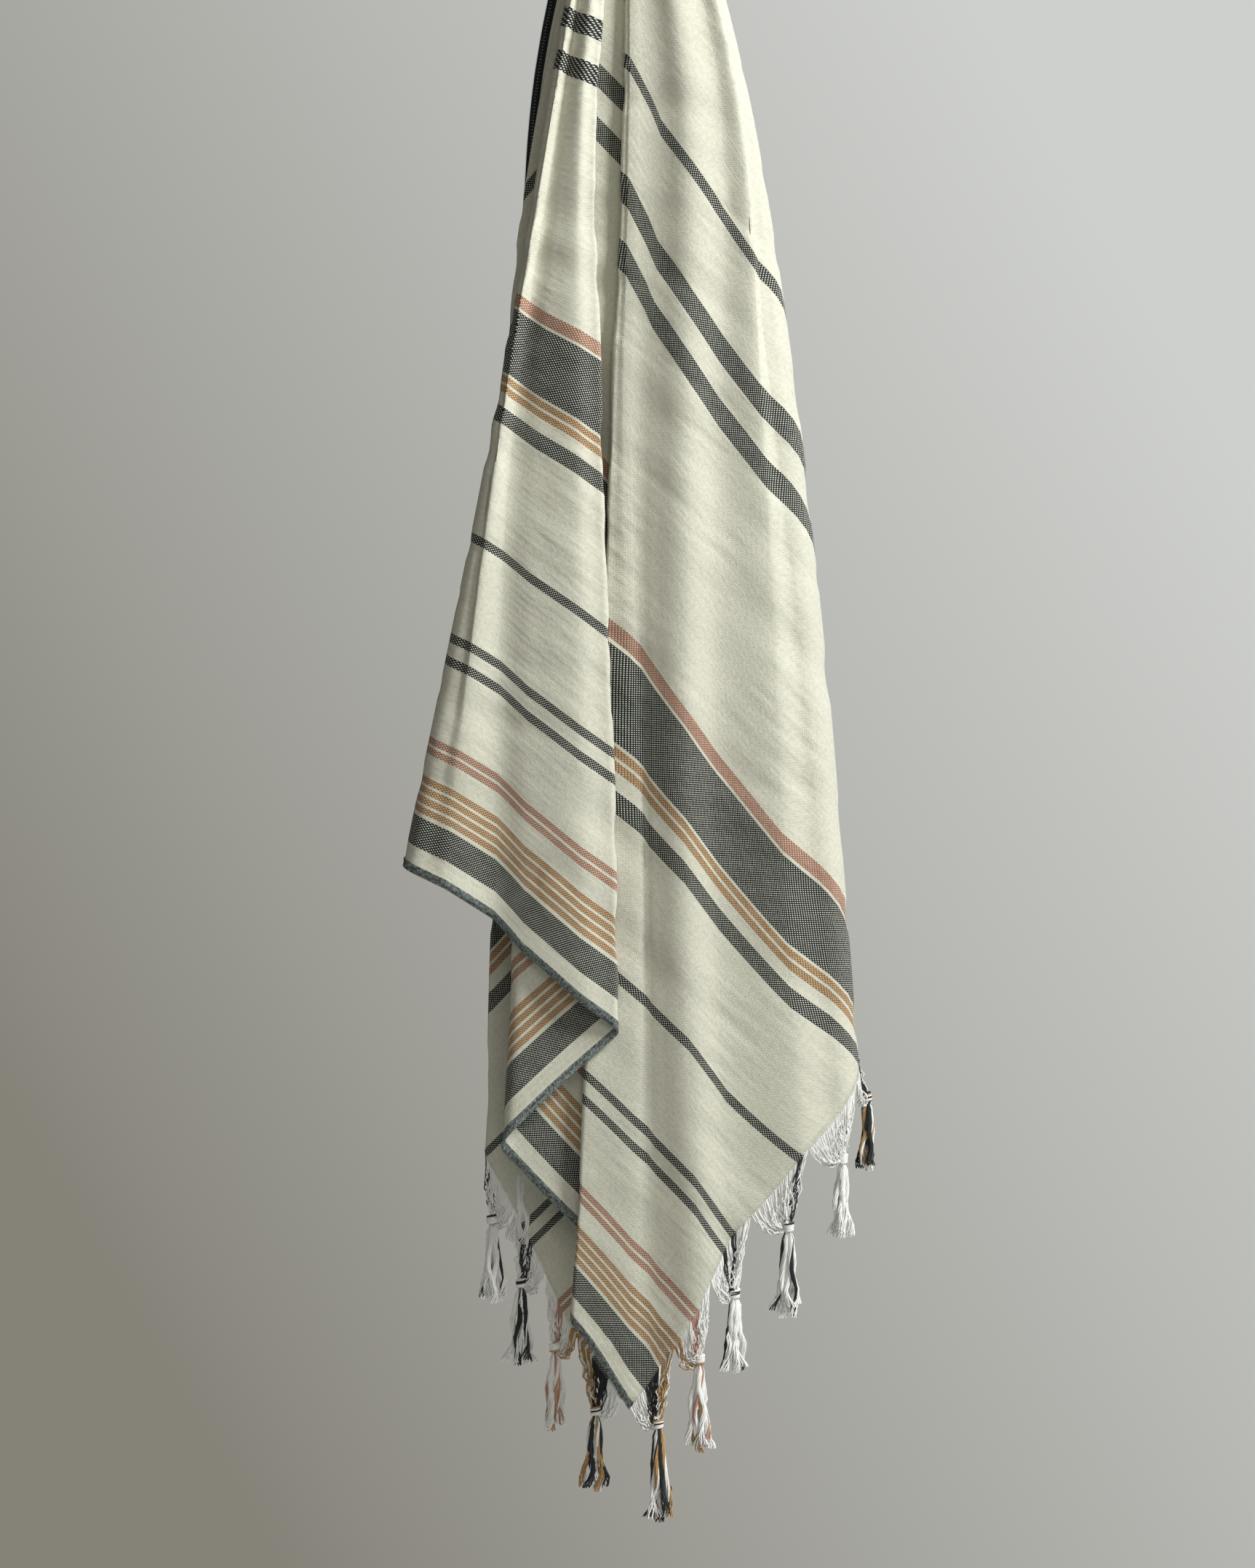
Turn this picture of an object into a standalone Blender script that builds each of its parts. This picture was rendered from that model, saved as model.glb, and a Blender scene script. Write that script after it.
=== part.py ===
"""Hammam towel hung by the middle of one long edge.

The towel is one woven sheet. A place on it is known by its distance from the hang point and by its
angle there: 0 degrees points across the towel, -90 and +90 degrees run along the edge that carries
the hang point, towards the back end and the front end. Hung, each such line falls almost straight
down, and the sheet gathers in upright folds between them. FOLDS lists those folds in the order in
which the sheet passes through them, and everything else is worked out from that table.

Metres, +Z up, the wall towards +Y. The hang point is the origin.
"""

import math
from collections import namedtuple

import bmesh
import bpy
import numpy as np
from mathutils import Vector
from mathutils.bvhtree import BVHTree

# Driving dimensions
TOWEL_WIDTH = 0.90
TOWEL_LENGTH = 1.80
CLOTH_THICKNESS = 0.0012
BIAS_STRETCH = 0.064  # how much longer the cloth hangs where it hangs at 45 degrees to its threads
HOOD_RADIUS = 0.016  # the small round hood at the hang point
HOOD_SPREAD = (0.035, 0.13)  # depths over which the hood spreads sideways into the folds
HOOD_DEEPEN = (0.018, 0.07)  # and over which its front and back go over into them
WIDEST_TURN = 0.020
TURN_SHARE = 0.8  # most of the way to the next fold line that a turn may take up

TASSELS_PER_END = 13
TASSEL_PITCH = 0.07
FIRST_TASSEL = 0.03  # from the near long edge
TASSEL_SPACING = 0.0006  # half the space between neighbours
EDGE_DROP = 0.002  # the loose yarn starts this far below the cloth
VEIL_DEPTH = 0.0012
KNOT_DROP = 0.042
PULL = (1 / 6, 2 / 6, 3 / 6)  # a tassel hangs more from the higher side of its yarns
KNOT_RADIUS = 0.0042
TAIL_LENGTH = 0.068
TAIL_HALF_WIDTH = 0.0050
THICKEST = 0.0066
NECK_DEPTH = 0.005
TAIL_DEPTH = 0.006
TASSEL_ROOM = 0.0062  # least space from a tassel's middle to what hangs beside it
TAIL_SAMPLES = 8
KNOT_MOVE = 0.002
MOST_MOVES = (11, 2)  # a knot's moves sideways, and forward or back
FOLD_TASSEL = (1, 5)  # the front end's sixth tassel hangs from a fold, and lies outside it
FOLD_TASSEL_MOVE = (0.011, -0.012, 0)

# One tooth of the fringe, from the top down. gathered: how far the yarns are drawn in to the knot.
Ring = namedtuple("Ring", "name gathered below_knot half_width depth")
TOOTH = (
    Ring("edge", 0, 0, 0, VEIL_DEPTH),
    Ring("loose_ends", 0.18, 0, 0, VEIL_DEPTH),
    Ring("above_knot", 1, -1.6 * KNOT_RADIUS, 0.7 * KNOT_RADIUS, NECK_DEPTH),
    Ring("knot", 1, 0, KNOT_RADIUS, THICKEST),
    Ring("neck", 1, 1.6 * KNOT_RADIUS, 0.7 * KNOT_RADIUS, NECK_DEPTH),
    Ring("tail", 1, 0.5 * TAIL_LENGTH, TAIL_HALF_WIDTH, TAIL_DEPTH),
    Ring("tail_end", 1, TAIL_LENGTH, TAIL_HALF_WIDTH, NECK_DEPTH),
)

ROWS = 16
FIRST_ROW = 0.004  # as a share of a column's whole depth
ROW_CROWDING = 1.35  # above 1, the rows lie closer together at the top
SETTLE_STEPS = 60
TINY = 1e-6
TURN_STEPS = 2  # columns in each quarter turn of a fold
RUN_STEP = 0.085  # widest column between folds

# Depths below the hang point at which each fold is described
DEPTHS = (0.10, 0.30, 0.60, 0.95, 1.30)
LAYERS = 14
LAYER_PITCH = (0.0029, 0.0046, 0.0055, 0.0060, 0.0062)
BACK_FACE = (0.019, 0.030, 0.038, 0.042, 0.044)

# side: -1 a fold that turns at the left, +1 at the right, 0 a line on a panel or a long edge.
# layer: how far back the cloth lies before and after the line. angle: degrees on the flat towel.
# x: where the line hangs, at each depth.
Fold = namedtuple("Fold", "name side layer_in layer_out angle x")
FOLDS = (
    Fold("back_edge", 0, 12, 12, (-90, -90, -90, -90, -90), (-0.036, -0.078, -0.088, -0.092, -0.092)),
    Fold("back_tuck", 1, 12, 11, (-75, -75, -77, -75, -72), (0.004, -0.004, 0.042, 0.130, 0.130)),
    Fold("back_panel_left", -1, 11, 10, (-64, -64, -62, -59, -52),
         (-0.020, -0.070, -0.108, -0.112, -0.122)),
    Fold("back_corner", 0, 10, 10, (-49, -49, -48.5, -47, -45), (0.004, 0.008, 0.028, 0.055, -0.008)),
    Fold("back_panel_right", 1, 10, 9, (-46, -46, -46.4, -43.5, -42.5),
         (0.012, 0.023, 0.050, 0.085, 0.048)),
    Fold("inner_five", -1, 9, 8, (-37, -37, -37, -37.5, -38), (-0.002, -0.010, -0.035, -0.046, -0.048)),
    Fold("inner_four", 1, 8, 7, (-28, -28, -28, -28, -28), (0.010, 0.033, 0.062, 0.116, 0.120)),
    Fold("inner_three", -1, 7, 6, (-13, -13, -13, -13, -13), (-0.008, -0.031, -0.085, -0.138, -0.145)),
    Fold("inner_two", 1, 6, 5, (1, 1, 1, 1, 1), (0.008, 0.028, 0.055, 0.070, 0.070)),
    Fold("left_panel_left", -1, 5, 0, (23, 22.1, 17.6, 14.0, 11.0),
         (-0.027, -0.062, -0.1125, -0.182, -0.240)),
    Fold("left_panel_ridge", 0, -0.7, -0.7, (23.3, 22.7, 18.5, 16.0, 14.5),
         (-0.0235, -0.057, -0.105, -0.147, -0.180)),
    Fold("left_panel_hollow", 0, 0.7, 0.7, (23.8, 23.4, 19.6, 18.7, 18.6),
         (-0.021, -0.051, -0.094, -0.108, -0.122)),
    Fold("left_panel_rise", 0, -0.4, -0.4, (24.2, 24.1, 21.8, 21.4, 21.4),
         (-0.018, -0.046, -0.075, -0.085, -0.095)),
    Fold("left_panel_crest", 0, -1.6, -1.6, (25, 24.9, 24.7, 25.1, 25.3),
         (-0.013, -0.037, -0.0425, -0.0405, -0.040)),
    Fold("left_panel_right", 1, -0.4, 1, (26, 25.8, 26.9, 27.2, 27.3),
         (-0.008, -0.0262, -0.0225, -0.0118, -0.0100)),
    Fold("pleat_left", -1, 1, 4, (30, 30, 32, 33.6, 34.9), (-0.017, -0.047, -0.074, -0.0915, -0.108)),
    Fold("pleat_right", 1, 4, 3, (45, 45, 44.5, 43, 40.2), (0.008, 0.020, 0.022, 0.014, 0.008)),
    Fold("right_panel_left", -1, 3, 2, (50.7, 50.7, 50.3, 47.9, 41.6),
         (-0.003, -0.0055, -0.0175, -0.0300, -0.0485)),
    Fold("front_corner", 0, 1.6, 1.6, (51.5, 51.5, 51.2, 49.7, 45),
         (-0.001, -0.001, -0.006, 0.004, -0.002)),
    Fold("right_panel_hollow", 0, 1.7, 1.3, (57, 58.5, 53.4, 50.4, 46.4),
         (0.004, 0.0225, 0.0130, 0.0150, 0.022)),
    Fold("right_panel_crest", 0, -0.5, -0.5, (62, 62.5, 57.4, 52.2, 48.4),
         (0.010, 0.0420, 0.0415, 0.0415, 0.055)),
    Fold("right_panel_fall", 0, 1.3, 1.3, (66, 66.7, 60.7, 54.6, 50.7),
         (0.018, 0.0655, 0.0690, 0.0690, 0.084)),
    Fold("right_panel_swell", 0, 0.9, 0.9, (69, 69.6, 64.4, 58.6, 52.3),
         (0.027, 0.0790, 0.1040, 0.1210, 0.139)),
    Fold("right_panel_right", 1, 2.5, 13, (72.5, 72.2, 67.8, 62.4, 54.6),
         (0.036, 0.0885, 0.1365, 0.1700, 0.1960)),
    Fold("front_tuck", -1, 13, 14, (81, 81, 79, 76, 74), (0.008, 0.045, 0.026, -0.030, -0.040)),
    Fold("front_edge", 0, 14, 14, (90, 90, 90, 90, 90), (0.016, 0.078, 0.122, 0.155, 0.160)),
)

# Round the hood, the sheet's angle on the flat towel becomes its bearing: 0 to the front, + right.
HOOD_ANGLES = (-90, 22, 26, 30, 45, 51, 72, 90)
HOOD_BEARINGS = (-155, -62, -17, -8, 8, 17, 62, 155)

# Mean colours, linear RGB
CREAM = (0.70, 0.66, 0.56, 1)
YARN = (0.80, 0.78, 0.72, 1)
CLOTH_ROUGHNESS = 0.9
YARN_ROUGHNESS = 0.85


def at_depth(values, depth):
    """Smooth curve through the values given at DEPTHS, held level above the first and below the last."""
    knots = np.array(DEPTHS)
    values = np.array(values, float)
    slopes = np.gradient(values, knots)
    depth = np.clip(depth, knots[0], knots[-1])
    k = np.clip(np.searchsorted(knots, depth, side="right") - 1, 0, len(knots) - 2)
    span = knots[k + 1] - knots[k]
    t = (depth - knots[k]) / span
    start = values[k] * (1 + 2 * t) + slopes[k] * span * t
    end = values[k + 1] * (3 - 2 * t) - slopes[k + 1] * span * (1 - t)
    return start * (1 - t) ** 2 + end * t**2


def layer_y(layer, depth):
    return at_depth(BACK_FACE, depth) - (LAYERS - layer) * at_depth(LAYER_PITCH, depth)


def smooth_step(value, low, high):
    t = np.clip((value - low) / (high - low), 0, 1)
    return t * t * (3 - 2 * t)


def stretch(angle):
    return 1 + BIAS_STRETCH * np.sin(np.radians(2 * angle)) ** 2


def edge_distance(angle):
    """Hung distance from the hang point to the towel's edge along one angle."""
    radians = np.radians(angle)
    across = TOWEL_WIDTH / np.maximum(np.cos(radians), TINY)
    along = TOWEL_LENGTH / 2 / np.maximum(np.abs(np.sin(radians)), TINY)
    return stretch(angle) * np.minimum(across, along)


def turn_width(k, depth):
    """Half width of fold k's round turn: half the gap it spans, kept clear of the lines beside it."""
    fold = FOLDS[k]
    gap = np.abs(layer_y(fold.layer_out, depth) - layer_y(fold.layer_in, depth))
    if not fold.side:
        return gap * 0
    x = at_depth(fold.x, depth)
    room = [np.abs(at_depth(FOLDS[beside].x, depth) - x) for beside in (k - 1, k + 1)]
    return np.minimum(np.minimum(gap / 2, WIDEST_TURN), TURN_SHARE * np.minimum(*room))


def line_slope(k, depth):
    """How fast the cloth comes forward or goes back where it crosses fold line k."""
    fold = FOLDS[k]
    if fold.side or k in (0, len(FOLDS) - 1):
        return depth * 0
    before, after = FOLDS[k - 1], FOLDS[k + 1]
    rise = layer_y(after.layer_in, depth) - layer_y(before.layer_out, depth)
    return rise / (at_depth(after.x, depth) - at_depth(before.x, depth))


def section(k, part, t, depth):
    """Place and flat angle on the run of cloth from fold line k to the next.

    part is "out" on the turn that leaves line k, "run" between the turns, and "in" on the turn
    that reaches the next line; t goes from 0 to 1 along it.
    """
    a, b = FOLDS[k], FOLDS[k + 1]
    ax, bx = at_depth(a.x, depth), at_depth(b.x, depth)
    ay, by = layer_y(a.layer_out, depth), layer_y(b.layer_in, depth)
    a_turn, b_turn = turn_width(k, depth), turn_width(k + 1, depth)
    x0 = ax - a.side * a_turn
    x1 = bx - b.side * b_turn
    a_height = (layer_y(a.layer_in, depth) - ay) / 2
    b_height = (layer_y(b.layer_out, depth) - by) / 2
    out_length = math.pi / 2 * np.sqrt((a_turn**2 + a_height**2) / 2)
    in_length = math.pi / 2 * np.sqrt((b_turn**2 + b_height**2) / 2)
    run_length = np.hypot(x1 - x0, by - ay)
    if part == "out":
        turned = t * math.pi / 2
        x = x0 + a.side * a_turn * np.cos(turned)
        y = ay + a_height * (1 - np.sin(turned))
        travelled = t * out_length
    elif part == "in":
        turned = t * math.pi / 2
        x = x1 + b.side * b_turn * np.sin(turned)
        y = by + b_height * (1 - np.cos(turned))
        travelled = out_length + run_length + t * in_length
    else:
        x = x0 + (x1 - x0) * t
        bend_a = line_slope(k, depth) * (x1 - x0)
        bend_b = line_slope(k + 1, depth) * (x1 - x0)
        y = ay * (1 + 2 * t) * (1 - t) ** 2 + bend_a * t * (1 - t) ** 2
        y = y + by * (3 - 2 * t) * t**2 - bend_b * (1 - t) * t**2
        travelled = out_length + t * run_length
    share = travelled / (out_length + run_length + in_length)
    a_angle, b_angle = at_depth(a.angle, depth), at_depth(b.angle, depth)
    return x, y, a_angle + (b_angle - a_angle) * share


def place(k, part, t, depth):
    """Point in space, and flat angle, at one depth below the hang point."""
    x, y, angle = section(k, part, t, depth)
    drop = np.sqrt(np.maximum(depth**2 - x**2, 0))
    bearing = np.radians(np.interp(angle, HOOD_ANGLES, HOOD_BEARINGS))
    over = np.minimum(depth / HOOD_RADIUS, math.pi / 2)
    hood_drop = HOOD_RADIUS * (1 - np.cos(over)) + np.maximum(depth - HOOD_RADIUS * math.pi / 2, 0)
    hood_x = HOOD_RADIUS * np.sin(over) * np.sin(bearing)
    hood_y = -HOOD_RADIUS * np.sin(over) * np.cos(bearing)
    spread = smooth_step(depth, *HOOD_SPREAD)
    deepen = smooth_step(depth, *HOOD_DEEPEN)
    x = hood_x + (x - hood_x) * spread
    y = hood_y + (y - hood_y) * deepen
    return x, y, -(hood_drop + (drop - hood_drop) * spread), angle


def columns():
    """The sheet's columns from the back edge to the front edge, as (line, part, t)."""
    found = []
    for k in range(len(FOLDS) - 1):
        a, b = FOLDS[k], FOLDS[k + 1]
        if a.side:
            found += [(k, "out", i / TURN_STEPS) for i in range(TURN_STEPS)]
        width = max(abs(q - p) for p, q in zip(a.x, b.x))
        steps = max(1, math.ceil(width / RUN_STEP))
        found += [(k, "run", i / steps) for i in range(steps)]
        if b.side:
            found += [(k, "in", i / TURN_STEPS) for i in range(TURN_STEPS)]
    return found + [(len(FOLDS) - 2, "run", 1.0)]


def end_depth(column):
    """Depth at which a column meets the towel's edge, and its flat angle there."""
    depth = np.array(1.0)
    for _ in range(SETTLE_STEPS):
        angle = section(*column, depth)[2]
        depth = 0.5 * depth + 0.5 * edge_distance(angle)
    return float(depth), float(angle)


def row_shares():
    """Depths of the rows as shares of the whole: close together over the hood, wider below."""
    t = np.linspace(0, 1, ROWS)
    return FIRST_ROW + (1 - FIRST_ROW) * t**ROW_CROWDING


def material(name, colour, roughness):
    made = bpy.data.materials.new(name)
    made.use_nodes = True
    shader = made.node_tree.nodes["Principled BSDF"]
    shader.inputs["Base Color"].default_value = colour
    shader.inputs["Roughness"].default_value = roughness
    shader.inputs["Metallic"].default_value = 0
    return made


def add_object(name, bm, finish):
    mesh = bpy.data.meshes.new(name)
    bm.to_mesh(mesh)
    bm.free()
    mesh.materials.append(finish)
    mesh.shade_smooth()
    made = bpy.data.objects.new(name, mesh)
    parts.objects.link(made)
    return made


def make_cloth(finish):
    """The woven sheet: a flat grid, hung fold by fold, then given its thickness."""
    stations = columns()
    shares = row_shares()
    ends = [end_depth(column)[0] for column in stations]
    bm = bmesh.new()
    bmesh.ops.create_grid(bm, x_segments=len(stations) - 1, y_segments=ROWS - 1, size=1)
    for vert in bm.verts:
        column = round((vert.co.x + 1) / 2 * (len(stations) - 1))
        row = round((vert.co.y + 1) / 2 * (ROWS - 1))
        depth = np.array(shares[row] * ends[column])
        vert.co = place(*stations[column], depth)[:3]
    bmesh.ops.reverse_faces(bm, faces=bm.faces)
    cloth = add_object("towel_cloth", bm, finish)
    wall = cloth.modifiers.new("thickness", "SOLIDIFY")
    wall.thickness = CLOTH_THICKNESS
    wall.offset = 0
    wall.use_even_offset = False
    return cloth


def end_curve():
    """The lower edge of the hung cloth: its columns' flat angles, in order, and their end points."""
    angles, points = [], []
    for column in columns():
        depth, angle = end_depth(column)
        angles.append(angle)
        points.append([float(c) for c in place(*column, np.array(depth))[:3]])
    return np.array(angles), np.array(points)


def edge_point(curve, end, v):
    """Point on a fringed end of the hung towel, v metres from the near long edge."""
    angle = end * math.degrees(math.atan2(TOWEL_LENGTH / 2, TOWEL_WIDTH - v))
    angles, points = curve
    return Vector([float(np.interp(angle, angles, points[:, axis])) for axis in range(3)])


def hanging_room(knot, cloth_tree, knots):
    """How far the nearest cloth or other tassel is from a knot and the tail below it."""
    steps = range(-1, TAIL_SAMPLES + 1)
    line = [knot + Vector((0, 0, KNOT_DROP / 2 - TAIL_LENGTH * i / TAIL_SAMPLES)) for i in steps]
    room = min(cloth_tree.find_nearest(point)[3] for point in line)
    for other in knots:
        beside = math.hypot(other.x - knot.x, other.y - knot.y)
        if abs(other.z - knot.z) < TAIL_LENGTH + 2 * KNOT_RADIUS:
            room = min(room, beside / 2)
    return room


def clear_knot(knot, cloth_tree, knots):
    """The nearest place to a knot's own where its tassel hangs clear of everything."""
    moves = [range(-most, most + 1) for most in MOST_MOVES]
    places = [knot + Vector((dx, dy, 0)) * KNOT_MOVE for dx in moves[0] for dy in moves[1]]
    places.sort(key=lambda place: ((place - knot).length, place.x, place.y))
    for place in places:
        if hanging_room(place, cloth_tree, knots) > TASSEL_ROOM:
            return place
    return max(places, key=lambda place: hanging_room(place, cloth_tree, knots))


def make_fringe(name, curve, end, cloth_tree, knots, finish):
    """One end's fringe: a comb whose teeth are the knotted tassels.

    Each tooth is the loose warp ends drawn in to a knot, and the tail below it.
    """
    bm = bmesh.new()
    across = 3 * TASSELS_PER_END
    bmesh.ops.create_grid(bm, x_segments=across - 1, y_segments=len(TOOTH) - 1, size=1)
    weights = bm.verts.layers.deform.verify()
    teeth = []
    for number in range(TASSELS_PER_END):
        v = FIRST_TASSEL + number * TASSEL_PITCH
        low = max(v - TASSEL_PITCH / 2, 0) + TASSEL_SPACING
        high = min(v + TASSEL_PITCH / 2, TOWEL_WIDTH) - TASSEL_SPACING
        ends = [edge_point(curve, end, at) for at in (low, (low + high) / 2, high)]
        middle = sum((point * share for point, share in zip(ends, PULL)), Vector())
        if (end, number) == FOLD_TASSEL:
            middle += Vector(FOLD_TASSEL_MOVE)
        knot = clear_knot(middle - Vector((0, 0, KNOT_DROP)), cloth_tree, knots)
        knots.append(knot)
        teeth.append((ends, knot, (ends[2] - ends[0]).to_2d().to_3d().normalized()))
    for vert in bm.verts:
        column = round((vert.co.x + 1) / 2 * (across - 1))
        ends, knot, level = teeth[column // 3]
        ring = TOOTH[round((vert.co.y + 1) / 2 * (len(TOOTH) - 1))]
        drawn_in = ends[column % 3] - Vector((0, 0, EDGE_DROP))
        drawn_in = drawn_in.lerp(knot, ring.gathered)
        side = level * (column % 3 - 1) * ring.half_width
        vert.co = drawn_in + side - Vector((0, 0, ring.below_knot))
        vert[weights][0] = ring.depth / THICKEST
    bm.faces.ensure_lookup_table()
    between = []
    for face in bm.faces:
        column, ring = face.index % (across - 1), face.index // (across - 1)
        if column % 3 == 2 and ring > 0:
            between.append(face)
    bmesh.ops.delete(bm, geom=between, context="FACES")
    fringe = add_object(name, bm, finish)
    fringe.vertex_groups.new(name="depth")
    wall = fringe.modifiers.new("thickness", "SOLIDIFY")
    wall.thickness = THICKEST
    wall.offset = 0
    wall.vertex_group = "depth"
    return fringe


def surface_tree(thing):
    bm = bmesh.new()
    bm.from_mesh(thing.data)
    tree = BVHTree.FromBMesh(bm)
    bm.free()
    return tree


for old in list(bpy.data.objects):
    bpy.data.objects.remove(old, do_unlink=True)
parts = bpy.data.collections.new("hammam_towel")
bpy.context.scene.collection.children.link(parts)

cotton = material("woven_cotton", CREAM, CLOTH_ROUGHNESS)
yarn = material("cotton_yarn", YARN, YARN_ROUGHNESS)
cloth_tree = surface_tree(make_cloth(cotton))
lower_edge = end_curve()
hung_knots = []
make_fringe("fringe_front", lower_edge, 1, cloth_tree, hung_knots, yarn)
make_fringe("fringe_back", lower_edge, -1, cloth_tree, hung_knots, yarn)
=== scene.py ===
"""A hammam towel hung by the middle of one long edge, with its knotted fringes.

Metres, +Z up, the viewer at -Y. The hang point is the origin.
"""

import math
from collections import namedtuple

import bmesh
import bpy
import numpy as np
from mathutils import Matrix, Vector, noise


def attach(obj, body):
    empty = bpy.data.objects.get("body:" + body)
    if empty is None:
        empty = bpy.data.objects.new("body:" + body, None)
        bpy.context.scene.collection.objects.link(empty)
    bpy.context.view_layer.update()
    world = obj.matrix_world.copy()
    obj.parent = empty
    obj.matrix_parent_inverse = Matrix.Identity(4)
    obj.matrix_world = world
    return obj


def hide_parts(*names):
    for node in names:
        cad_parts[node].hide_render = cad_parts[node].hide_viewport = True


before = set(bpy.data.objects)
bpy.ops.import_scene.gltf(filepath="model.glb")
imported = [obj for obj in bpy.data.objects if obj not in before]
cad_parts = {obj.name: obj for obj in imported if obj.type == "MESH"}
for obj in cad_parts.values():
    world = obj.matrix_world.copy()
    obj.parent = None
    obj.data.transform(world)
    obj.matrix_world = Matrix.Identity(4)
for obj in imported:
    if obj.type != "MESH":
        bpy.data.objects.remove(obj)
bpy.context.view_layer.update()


# ---- The cloth ----
# A flat-woven cotton towel, 0.9 by 1.8 m, one piece with its overlocked long edges. It hangs from
# the middle of one long edge, so each line from there falls almost straight down, and the sheet
# gathers in upright folds in between.

TOWEL_WIDTH = 0.90
TOWEL_LENGTH = 1.80
CLOTH_THICKNESS = 0.0011
HEM_WIDTH = 0.0067
BIAS_STRETCH = 0.064  # how much longer the cloth hangs at 45 degrees to its threads
HOOD_RADIUS = 0.016  # the small round hood at the hang point
HOOD_SPREAD = (0.035, 0.13)  # depths over which the hood spreads sideways into the folds
HOOD_DEEPEN = (0.018, 0.07)  # and over which its front and back go over into them
WIDEST_TURN = 0.020
TURN_SHARE = 0.8  # most of the way to the next fold line that a turn may take up

DEPTHS = (0.10, 0.30, 0.60, 0.95, 1.30)
LAYERS = 14
LAYER_PITCH = (0.0029, 0.0046, 0.0055, 0.0060, 0.0062)
BACK_FACE = (0.019, 0.030, 0.038, 0.042, 0.044)

# side: -1 a fold that turns at the left, +1 at the right, 0 a line on a panel or a long edge.
# layer: how far back the cloth lies before and after the line. angle: degrees on the flat towel.
# x: where the line hangs, at each depth. step: widest column after it.
Fold = namedtuple("Fold", "name side layer_in layer_out angle x step")
FOLDS = (
    Fold("back_edge", 0, 12, 12, (-90, -90, -90, -90, -90),
         (-0.036, -0.078, -0.088, -0.092, -0.092), 0.016),
    Fold("back_tuck", 1, 12, 11, (-75, -75, -77, -75, -72),
         (0.004, -0.004, 0.042, 0.130, 0.130), 0.016),
    Fold("back_panel_left", -1, 11, 10, (-64, -64, -62, -59, -52),
         (-0.020, -0.070, -0.108, -0.112, -0.122), 0.010),
    Fold("back_corner", 0, 10, 10, (-49, -49, -48.5, -47, -45),
         (0.004, 0.008, 0.028, 0.055, -0.008), 0.012),
    Fold("back_panel_right", 1, 10, 9, (-46, -46, -46.4, -43.5, -42.5),
         (0.012, 0.023, 0.050, 0.085, 0.048), 0.016),
    Fold("inner_five", -1, 9, 8, (-37, -37, -37, -37.5, -38),
         (-0.002, -0.010, -0.035, -0.046, -0.048), 0.03),
    Fold("inner_four", 1, 8, 7, (-28, -28, -28, -28, -28), (0.010, 0.033, 0.062, 0.116, 0.120), 0.03),
    Fold("inner_three", -1, 7, 6, (-13, -13, -13, -13, -13),
         (-0.008, -0.031, -0.085, -0.138, -0.145), 0.03),
    Fold("inner_two", 1, 6, 5, (1, 1, 1, 1, 1), (0.008, 0.028, 0.055, 0.070, 0.070), 0.03),
    Fold("left_panel_left", -1, 5, 0, (23, 22.1, 17.6, 14.0, 11.0),
         (-0.027, -0.062, -0.1125, -0.182, -0.240), 0.009),
    Fold("left_panel_ridge", 0, -0.7, -0.7, (23.3, 22.7, 18.5, 16.0, 14.5),
         (-0.0235, -0.057, -0.105, -0.147, -0.180), 0.009),
    Fold("left_panel_hollow", 0, 0.7, 0.7, (23.8, 23.4, 19.6, 18.7, 18.6),
         (-0.021, -0.051, -0.094, -0.108, -0.122), 0.007),
    Fold("left_panel_rise", 0, -0.4, -0.4, (24.2, 24.1, 21.8, 21.4, 21.4),
         (-0.018, -0.046, -0.075, -0.085, -0.095), 0.009),
    Fold("left_panel_crest", 0, -1.6, -1.6, (25, 24.9, 24.7, 25.1, 25.3),
         (-0.013, -0.037, -0.0425, -0.0405, -0.040), 0.008),
    Fold("left_panel_right", 1, -0.4, 1, (26, 25.8, 26.9, 27.2, 27.3),
         (-0.008, -0.0262, -0.0225, -0.0118, -0.0100), 0.010),
    Fold("pleat_left", -1, 1, 4, (30, 30, 32, 33.6, 34.9),
         (-0.017, -0.047, -0.074, -0.0915, -0.108), 0.010),
    Fold("pleat_right", 1, 4, 3, (45, 45, 44.5, 43, 40.2), (0.008, 0.020, 0.022, 0.014, 0.008), 0.012),
    Fold("right_panel_left", -1, 3, 2, (50.7, 50.7, 50.3, 47.9, 41.6),
         (-0.003, -0.0055, -0.0175, -0.0300, -0.0485), 0.008),
    Fold("front_corner", 0, 1.6, 1.6, (51.5, 51.5, 51.2, 49.7, 45),
         (-0.001, -0.001, -0.006, 0.004, -0.002), 0.008),
    Fold("right_panel_hollow", 0, 1.7, 1.3, (57, 58.5, 53.4, 50.4, 46.4),
         (0.004, 0.0225, 0.0130, 0.0150, 0.022), 0.008),
    Fold("right_panel_crest", 0, -0.5, -0.5, (62, 62.5, 57.4, 52.2, 48.4),
         (0.010, 0.0420, 0.0415, 0.0415, 0.055), 0.007),
    Fold("right_panel_fall", 0, 1.3, 1.3, (66, 66.7, 60.7, 54.6, 50.7),
         (0.018, 0.0655, 0.0690, 0.0690, 0.084), 0.008),
    Fold("right_panel_swell", 0, 0.9, 0.9, (69, 69.6, 64.4, 58.6, 52.3),
         (0.027, 0.0790, 0.1040, 0.1210, 0.139), 0.008),
    Fold("right_panel_right", 1, 2.5, 13, (72.5, 72.2, 67.8, 62.4, 54.6),
         (0.036, 0.0885, 0.1365, 0.1700, 0.1960), 0.016),
    Fold("front_tuck", -1, 13, 14, (81, 81, 79, 76, 74), (0.008, 0.045, 0.026, -0.030, -0.040), 0.016),
    Fold("front_edge", 0, 14, 14, (90, 90, 90, 90, 90), (0.016, 0.078, 0.122, 0.155, 0.160), 0.016),
)

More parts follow.
